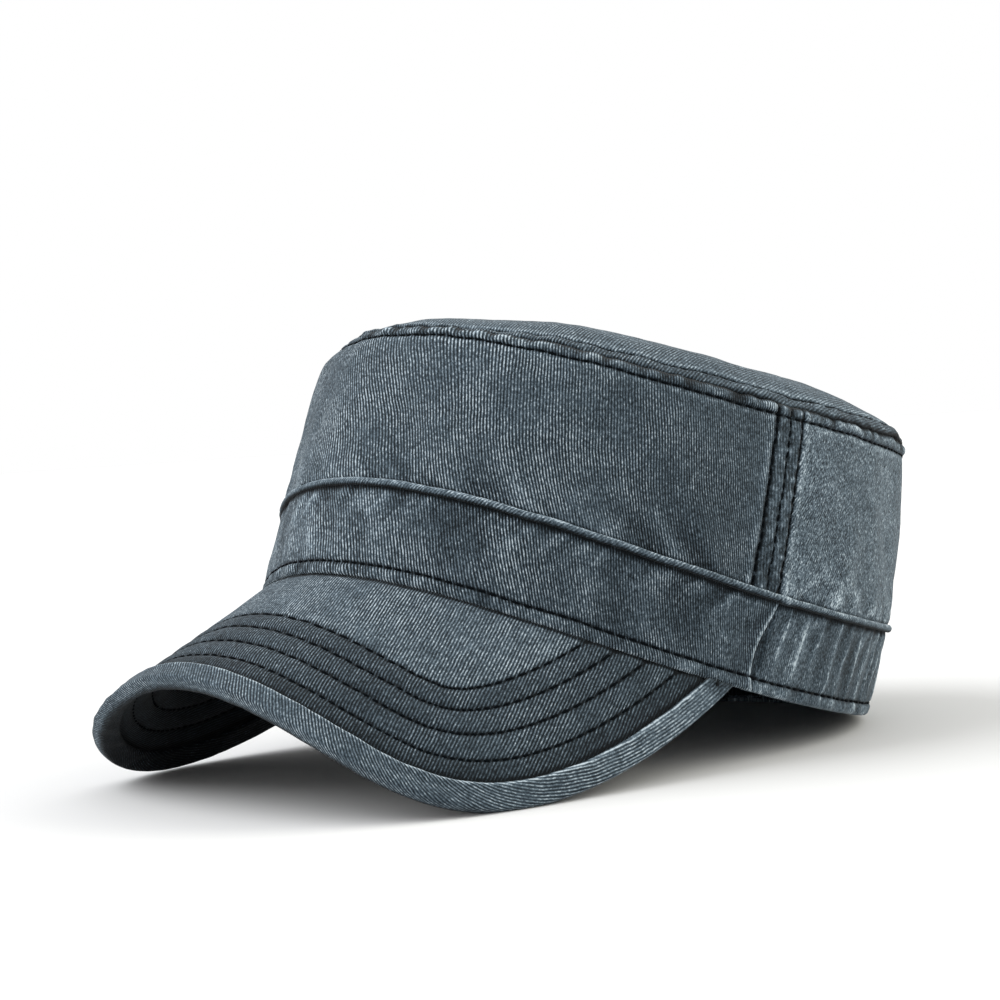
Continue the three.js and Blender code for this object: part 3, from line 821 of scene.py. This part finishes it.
def washed_twill(name, level, lean, pitch=0.92, ribbing=0.26, grain=1.2, clouds=0.22):
    """Washed cotton twill: slanting ribs, salt-and-pepper grain, cloudy fading, worn ridges,
    painted highlights and painted shade.

    The level is its tone, from 0, in deep shade, to 1, worn bare. The lean of its ribs is in
    degrees and their pitch in millimetres. Ribbing, grain and clouds say how strongly each shows.
    """
    material = bpy.data.materials.new(name)
    material.use_nodes = True
    nodes, links = material.node_tree.nodes, material.node_tree.links
    shader = nodes["Principled BSDF"]
    shader.inputs["Roughness"].default_value = 0.92
    shader.inputs["Specular IOR Level"].default_value = 0.15
    shader.inputs["Sheen Weight"].default_value = 0.05
    shader.inputs["Sheen Roughness"].default_value = 0.5

    def node(kind, **values):
        made = nodes.new(kind)
        for key, value in values.items():
            setattr(made, key, value)
        return made

    def put(target, key, value):
        if isinstance(value, bpy.types.NodeSocket):
            links.new(value, target.inputs[key])
        else:
            target.inputs[key].default_value = value

    def maths(operation, a, b=0.0, c=0.0):
        made = node("ShaderNodeMath", operation=operation)
        for key, value in enumerate((a, b, c)):
            put(made, key, value)
        return made.outputs[0]

    def plus(value, factor, total):
        return maths("MULTIPLY_ADD", value, factor, total)

    def placed(vector, **values):
        made = node("ShaderNodeMapping")
        put(made, "Vector", vector)
        for key, value in values.items():
            put(made, key, value)
        return made.outputs[0]

    def cloud(vector, size, detail=2.0, roughness=0.5):
        """Noise about zero, with features of a size in millimetres."""
        made = node("ShaderNodeTexNoise")
        put(made, "Vector", vector)
        put(made, "Scale", 1 / (size * MM))
        put(made, "Detail", detail)
        put(made, "Roughness", roughness)
        return maths("SUBTRACT", made.outputs[0], 0.5)

    def between(value, low, high):
        made = node("ShaderNodeMapRange", clamp=True)
        put(made, 0, value)
        put(made, 1, low)
        put(made, 2, high)
        return made.outputs[0]

    roll = node("ShaderNodeUVMap", uv_map="cloth").outputs[0]
    body = node("ShaderNodeTexCoord").outputs["Object"]
    turned = placed(roll, Rotation=(0, 0, radians(lean)))
    drawn = placed(turned, Scale=(1, 0.5, 1))
    aft = node("ShaderNodeSeparateXYZ")
    put(aft, 0, body)

    # Ribs: clear in places and rubbed in others, and fresher towards the front
    ribs = node("ShaderNodeTexWave", wave_type="BANDS", bands_direction="X", wave_profile="SIN")
    put(ribs, "Vector", turned)
    put(ribs, "Scale", WAVE_PITCH / (pitch * MM))
    put(ribs, "Distortion", 2.2)
    put(ribs, "Detail", 2.0)
    put(ribs, "Detail Scale", 0.5)
    ribs = maths("SUBTRACT", ribs.outputs["Fac"], 0.5)
    clear = plus(between(cloud(body, 16), -0.12, 0.12), 0.45, 0.65)
    fresh = plus(between(aft.outputs["Y"], 0.06, -0.06), 0.6, 0.6)
    ribs = maths("MULTIPLY", ribs, maths("MULTIPLY", clear, fresh))

    # Grain, fading, worn paleness with painted highlights, and painted shade
    wear_and_highlight = node("ShaderNodeAttribute", attribute_name="wear_and_highlight").outputs["Fac"]
    shade = node("ShaderNodeAttribute", attribute_name="shade").outputs["Fac"]
    speck = cloud(drawn, 0.58, 2.0, 0.75)
    ribs = maths("MULTIPLY", ribs, plus(speck, 1.6, 1.0))
    fleck = cloud(drawn, 1.9, 3.0, 0.65)
    mottle = cloud(body, 6.5, 3.0, 0.6)
    patches = cloud(body, 34, 4.0, 0.55)
    pale_wear_and_highlight = maths("MULTIPLY", wear_and_highlight, plus(fleck, 0.7, 0.42))

    # Its tone, paler where worn and where highlights are painted, darker by the painted shade, and
    # the colour of the dye there
    tone = plus(patches, clouds, level)
    tone = plus(mottle, 0.2, tone)
    tone = plus(fleck, grain * 0.35, tone)
    tone = plus(speck, grain, tone)
    tone = plus(ribs, ribbing * 2, tone)
    tone = maths("ADD", tone, pale_wear_and_highlight)
    # Painted shade darkens the tone
    tone = plus(shade, -0.62, tone)
    ramp = node("ShaderNodeValToRGB")
    stops = ramp.color_ramp.elements
    for place, colour in DYE[1:-1]:
        stops.new(place)
    for stop, (place, colour) in zip(stops, DYE):
        stop.position = place
        stop.color = colour
    put(ramp, 0, tone)
    put(shader, "Base Color", ramp.outputs[0])

    # The low relief of its weave
    weave = maths("MULTIPLY", ribs, 3 * ribbing + 0.1)
    weave = plus(fleck, 0.9, weave)
    weave = plus(speck, 0.8, weave)
    bump = node("ShaderNodeBump")
    put(bump, "Strength", 1.0)
    put(bump, "Distance", 0.16 * MM)
    put(bump, "Height", weave)
    put(shader, "Normal", bump.outputs[0])
    return material


def waxed_thread(name, colour, pale):
    """Dark thread, a little paler here and there along its twist."""
    material = bpy.data.materials.new(name)
    material.use_nodes = True
    nodes, links = material.node_tree.nodes, material.node_tree.links
    shader = nodes["Principled BSDF"]
    shader.inputs["Roughness"].default_value = 0.95
    shader.inputs["Specular IOR Level"].default_value = 0.05
    body = nodes.new("ShaderNodeTexCoord").outputs["Object"]
    twist = nodes.new("ShaderNodeTexNoise")
    twist.inputs["Scale"].default_value = 2600
    links.new(body, twist.inputs["Vector"])
    tint = nodes.new("ShaderNodeMix")
    tint.data_type = "RGBA"
    tint.inputs[6].default_value = colour
    tint.inputs[7].default_value = pale
    links.new(twist.outputs[0], tint.inputs[0])
    links.new(tint.outputs[2], shader.inputs["Base Color"])
    bump = nodes.new("ShaderNodeBump")
    bump.inputs["Distance"].default_value = 0.1 * MM
    links.new(twist.outputs[0], bump.inputs["Height"])
    links.new(bump.outputs[0], shader.inputs["Normal"])
    return material


crown_twill = washed_twill("crown_twill", level=0.46, lean=-14, ribbing=0.29)
# The back panel is paler than the front one, partly as painted light from behind
back_twill = washed_twill("back_twill", level=0.54, lean=26, ribbing=0.1, grain=1.8)
top_twill = washed_twill("top_twill", level=0.51, lean=-31, ribbing=0.22)
# The band is darker than the crown, partly its own tone and partly painted shade
band_twill = washed_twill("band_twill", level=0.39, lean=-25, pitch=0.85, ribbing=0.28)
gathered_twill = washed_twill("gathered_twill", level=0.505, lean=-11, ribbing=0.1, grain=1.4)
seam_twill = washed_twill("seam_twill", level=0.455, lean=-8, ribbing=0.16)
cord_twill = washed_twill("cord_twill", level=0.54, lean=38, pitch=0.8, ribbing=0.12)
peak_twill = washed_twill("peak_twill", level=0.45, lean=19, pitch=0.88, ribbing=0.25, grain=1.1)
# The peak's under cloth is the same twill, painted near black as painted shade under the peak
under_twill_in_painted_shade = washed_twill("under_twill_in_painted_shade", level=0.08, lean=19, pitch=0.88, ribbing=0.15, grain=0.5)
binding_twill = washed_twill(
    "binding_twill", level=0.455, lean=0, pitch=0.85, ribbing=0.22, grain=1.0
)
dark_thread = waxed_thread("dark_thread", linear(2, 5, 8), linear(9, 13, 17))


# Cloth pieces

FINE = 0.35  # between places near a seam or a row of stitches, in millimetres
WALL_UP = close_places(
    WALL_HEIGHT, (0, WALL_HEIGHT - WALL_STITCH, WALL_HEIGHT), fine=FINE, coarse=1.5
)
BAND_UP = close_places(BAND_HEIGHT, (0, BAND_STITCH, BAND_HEIGHT), fine=FINE, coarse=1.2)
TOP_UP = [
    1 - place for place in reversed(close_places(1, (0, 0.06), fine=0.0035, coarse=0.07))
]
TOP_COLUMNS = 390  # which keeps the top under 200,000 triangles
GATHER_COLUMNS = 16  # to each gather


def wall_panel(node, first, last, material):
    """A panel of the wall, from one side seam to the other."""
    ends = (first + SEAM_HALF, last - SEAM_HALF)
    length = (ends[1] - ends[0]) * GIRTH
    across = close_places(length, (0, length), fine=FINE, coarse=0.8)

    def spot(u, v):
        return panel_spot(mix(*ends, u), v, ends)

    cloth(node, material, across, WALL_UP, spot, WALL_CLOTH)


def seam_strip(node, side):
    """A felled side seam."""

    def spot(u, v):
        return seam_spot(side, mix(-SEAM_WIDTH / 2, SEAM_WIDTH / 2, u), v)

    cloth(node, seam_twill, even_places(36), even_places(110), spot, SEAM_CLOTH)


wall_panel("crown_front", -SEAM_AT, SEAM_AT, crown_twill)
wall_panel("crown_back", SEAM_AT, 2 * pi - SEAM_AT, back_twill)
seam_strip("side_seam_left", 1)
seam_strip("side_seam_right", -1)
cloth(
    "crown_top", top_twill, even_places(TOP_COLUMNS), TOP_UP,
    lambda u, v: top_spot(2 * pi * u, v), TOP_CLOTH, closed=True,
)
cloth(
    "band_front", band_twill,
    close_places(1, (0, 1), fine=0.0014, coarse=0.006), BAND_UP, front_spot, BAND_CLOTH,
)
cloth(
    "band_back", gathered_twill,
    even_places(GATHERS * GATHER_COLUMNS), BAND_UP, back_spot, BAND_CLOTH,
)

# The piping's cord, spun whole before it is laid
bm = bmesh.new()
upright = Matrix.Translation((GIRTH, 0, 0)) @ Matrix.Rotation(pi / 2, 4, "X")
bmesh.ops.create_circle(bm, segments=14, radius=CORD_RADIUS, matrix=upright)
bmesh.ops.spin(
    bm, geom=bm.verts[:] + bm.edges[:], cent=(0, 0, 0), axis=(0, 0, 1), angle=2 * pi, steps=560,
    use_merge=True,
)
bmesh.ops.recalc_face_normals(bm, faces=bm.faces)
lay_out(bm, cord_spot)
dressed(bm, "piping_cord", cord_twill, "piping")

cloth(
    "peak_top", peak_twill,
    even_places(300), even_places(76), upper_spot, PEAK_CLOTH, back_to=UNDER_PEAK,
)
cloth(
    "peak_under", under_twill_in_painted_shade,
    even_places(200), even_places(56), under_spot, PEAK_CLOTH, back_to=OVER_PEAK,
)
cloth(
    "peak_binding", binding_twill,
    even_places(320), even_places(len(BINDING_SECTION) - 1), binding_spot, BINDING_CLOTH,
)


# Stitches
#
# A row gives the points of a line of stitches, at shares of its length.


def sewn(row, length):
    """A line of stitches, each a small spindle of thread."""
    bm = bmesh.new()
    count = round(length / STITCH_PITCH)
    for k in range(count):
        start = row((k + 0.5 - STITCH_SHARE / 2) / count)
        end = row((k + 0.5 + STITCH_SHARE / 2) / count)
        run = end - start
        size = Vector((THREAD_RADIUS, THREAD_RADIUS, run.length / 2))
        place = Matrix.LocRotScale((start + end) / 2, run.to_track_quat("Z", "Y"), size)
        bmesh.ops.create_uvsphere(bm, u_segments=6, v_segments=4, radius=1, matrix=place)
    for vert in bm.verts:
        vert.co = laid(vert.co)
    bmesh.ops.recalc_face_normals(bm, faces=bm.faces)
    line = bpy.data.meshes.new("line")
    bm.to_mesh(line)
    bm.free()
    return line


def stitching(name, rows):
    """One piece of thread, from rows of stitches and their lengths."""
    bm = bmesh.new()
    for row, length in rows:
        line = sewn(row, length)
        bm.from_mesh(line)
        bpy.data.meshes.remove(line)
    dressed(bm, name, dark_thread)


def wall_row(share):
    angle = mix(-SEAM_AT, 2 * pi - SEAM_AT, share)
    to_seam = abs(wrapped(abs(angle) - SEAM_AT))
    over_seam = SEAM_STAND_OUT * ease(1 - (to_seam - SEAM_HALF) * HALF_WIDTH)
    return wall_face(angle, 1 - wall_stitch(angle) / WALL_HEIGHT, THREAD_PROUD + over_seam)[0]


def top_row(share):
    angle = 2 * pi * share
    edge = ring_point("seam", angle)
    radius = hypot(edge.x, edge.y)
    stitch = top_stitch(angle)
    r = 1 - stitch / radius / 1.3
    for _ in range(3):  # each step comes nearer to the right distance from the seam
        r += (inside_seam(edge, r) - stitch) / radius / 1.4
    return top_spot(angle, r, THREAD_PROUD)[0]


def band_row(share):
    angle = mix(-LAP_AT, LAP_AT + BACK_SPAN, share)
    v = band_stitch(angle) / BAND_HEIGHT
    if angle > LAP_AT:
        point = back_spot((angle - LAP_AT + LAP_UNDER) / (BACK_SPAN + 2 * LAP_UNDER), v)[0]
    else:
        point = front_spot((angle / LAP_AT + 1) / 2, v)[0]
    return point + outward_at(angle) * THREAD_PROUD


def stretches(row, length, count=6):
    """A long line of stitches, as several shorter ones."""

    def stretch(i):
        return lambda share: row((i + share) / count)

    return [(stretch(i), length / count) for i in range(count)]


def seam_row(side, across):
    def row(share):
        v = mix(*SEAM_ROW, share)
        angle = leaning(side * SEAM_AT + across / HALF_WIDTH, v)
        point = seam_spot(side, across + 0.15 * ripple(v * 9, across), v)[0]
        return point + outward_at(angle) * THREAD_PROUD

    return row, WALL_HEIGHT


def peak_row(inset, under):
    end = outline_end(inset, PEAK_ROW_END)
    points = [outline(mix(-end, end, share), inset) for share in even_places(60)]

    def row(share):
        p, q = outline(mix(-end, end, share), inset)
        out = peak_relief(p, q, rim_at(p)[1])[0] + THREAD_PROUD
        return peak_point(p, q, PEAK_THICKNESS + out if under else -out)

    return row, float(run_lengths(points)[-1])


ROUND = 2 * pi * GIRTH
stitching("crown_stitching", stretches(wall_row, ROUND) + stretches(top_row, ROUND))
stitching("band_stitching", stretches(band_row, ROUND))
stitching(
    "seam_stitching", [seam_row(side, across) for side in (1, -1) for across in SEAM_STITCHES]
)
stitching(
    "peak_stitching", [peak_row(inset, under) for inset in PEAK_STITCHES for under in (False, True)]
)


# Studio

TABLE_RADIUS = 6  # metres
LIGHT_SPREAD = 55  # degrees, for soft shadows

# The camera's place in millimetres, and where its right, its top and its back point
CAMERA_AT = Vector((578.284, -532.412, 105.308))
CAMERA_RIGHT = Vector((0.669683, 0.739876, -0.064094))
CAMERA_UP = Vector((0.015088, 0.072732, 0.997237))
CAMERA_BACK = Vector((0.742493, -0.6688, 0.037544))
CAMERA_LENS = 93.8986

bm = bmesh.new()
bmesh.ops.create_circle(bm, cap_ends=True, segments=96, radius=TABLE_RADIUS)
mesh = bpy.data.meshes.new("table")
bm.to_mesh(mesh)
bm.free()
table = bpy.data.objects.new("table", mesh)
bpy.context.collection.objects.link(table)
paper = bpy.data.materials.new("pale_paper")
paper.use_nodes = True
matt = paper.node_tree.nodes["Principled BSDF"].inputs
matt["Base Color"].default_value = (0.66, 0.66, 0.66, 1)
matt["Roughness"].default_value = 0.9
mesh.materials.append(paper)

world = bpy.data.worlds.new("studio")
bpy.context.scene.world = world
world.use_nodes = True
surround = world.node_tree.nodes["Background"].inputs
surround["Color"].default_value = (1, 1, 1, 1)
surround["Strength"].default_value = 1.0


def soft_light(name, place, strength, colour):
    light = bpy.data.lights.new(name, "SUN")
    light.energy = strength
    light.color = colour
    light.angle = radians(LIGHT_SPREAD)
    lamp = bpy.data.objects.new(name, light)
    bpy.context.collection.objects.link(lamp)
    lamp.location = place
    lamp.rotation_euler = Vector(place).to_track_quat("Z", "Y").to_euler()


soft_light("key_light", (-0.75, -0.75, 1.1), strength=2.4, colour=(0.97, 0.985, 1.0))
soft_light("back_light", (0.7, 1.15, 0.7), strength=1.5, colour=(1.0, 0.98, 0.84))

camera_data = bpy.data.cameras.new("camera")
camera_data.lens = CAMERA_LENS
camera_data.sensor_width = 36
camera_data.dof.use_dof = False
camera = bpy.data.objects.new("camera", camera_data)
bpy.context.collection.objects.link(camera)
facing = Matrix((CAMERA_RIGHT, CAMERA_UP, CAMERA_BACK)).transposed().to_4x4()
camera.matrix_world = Matrix.Translation(CAMERA_AT * MM) @ facing
bpy.context.scene.camera = camera
bpy.context.scene.view_settings.view_transform = "Standard"
